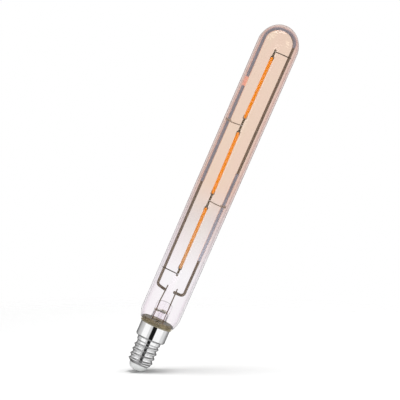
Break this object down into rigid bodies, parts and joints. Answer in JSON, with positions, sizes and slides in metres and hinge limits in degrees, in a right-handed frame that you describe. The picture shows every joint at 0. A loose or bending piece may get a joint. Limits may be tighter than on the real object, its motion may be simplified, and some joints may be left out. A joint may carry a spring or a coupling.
{
  "type": "led light bulb",
  "caption": "Long tubular filament lamp: tinted glass tube with a round top, a chain of orange filaments on a wire frame, and a small right-hand screw cap.",
  "frame": {"origin": "the lowest point of the cap, at the middle of its centre contact, on the lamp's axis", "axes": "+Z along the lamp's axis, from the cap to the round top of the glass; the frame wires and the filaments stand side by side along X, and -Y is the side that the lamp is seen from"},
  "size_m": [0.0234, 0.0234, 0.2069],
  "materials": {
    "tinted_glass": "clear blown glass with a thin rose-gold tint that fades out towards the foot",
    "clear_glass": "clear glass",
    "frame_steel": "plated iron wire",
    "lead_wire": "drawn wire",
    "copper_clad_wire": "copper-clad wire, reddish",
    "sleeve": "translucent, thin-walled",
    "phosphor": "opaque orange coat, unlit",
    "filament_tab": "stamped sheet, dulled by welding",
    "led_strip": "fired, matt",
    "cap_plate": "polished nickel plate",
    "insulator": "pale grey, moulded",
    "contact": "nickel plate",
    "solder": "smooth solder",
    "cement": "baked cement, khaki, speckled",
    "circuit_board": "lacquered laminate",
    "chip_body": "moulded, matt",
    "capacitor_can": "drawn can",
    "resistor": "fired, glazed",
    "driver_wire": "tinned copper wire"
  },
  "bodies": {
    "root": {"glass_envelope": "tinted_glass", "stem_glass": "clear_glass", "exhaust_tube": "clear_glass", "left_inner_lead": "lead_wire", "right_inner_lead": "lead_wire", "left_dumet_seal": "copper_clad_wire", "right_dumet_seal": "copper_clad_wire", "left_outer_lead": "lead_wire", "right_outer_lead": "lead_wire", "left_frame_wire": "frame_steel", "right_frame_wire": "frame_steel", "top_insulating_sleeve": "sleeve", "right_insulating_sleeve": "sleeve", "top_link_wire": "lead_wire", "bottom_link_wire": "lead_wire", "upper_support_wire": "lead_wire", "lower_support_wire": "lead_wire", "basing_cement": "cement", "cap_shell": "cap_plate", "cap_insulator": "insulator", "centre_contact": "contact", "contact_solder": "solder", "driver_board": "circuit_board", "bridge_rectifier": "chip_body", "driver_chip": "chip_body", "smoothing_capacitor": "capacitor_can", "chip_resistors": "resistor", "contact_wire": "driver_wire", "shell_wire": "driver_wire", "lower_led_strip": "led_strip", "lower_phosphor_coat": "phosphor", "lower_bottom_tab": "filament_tab", "lower_top_tab": "filament_tab", "middle_led_strip": "led_strip", "middle_phosphor_coat": "phosphor", "middle_bottom_tab": "filament_tab", "middle_top_tab": "filament_tab", "upper_led_strip": "led_strip", "upper_phosphor_coat": "phosphor", "upper_bottom_tab": "filament_tab", "upper_top_tab": "filament_tab"}
  },
  "joints": []
}
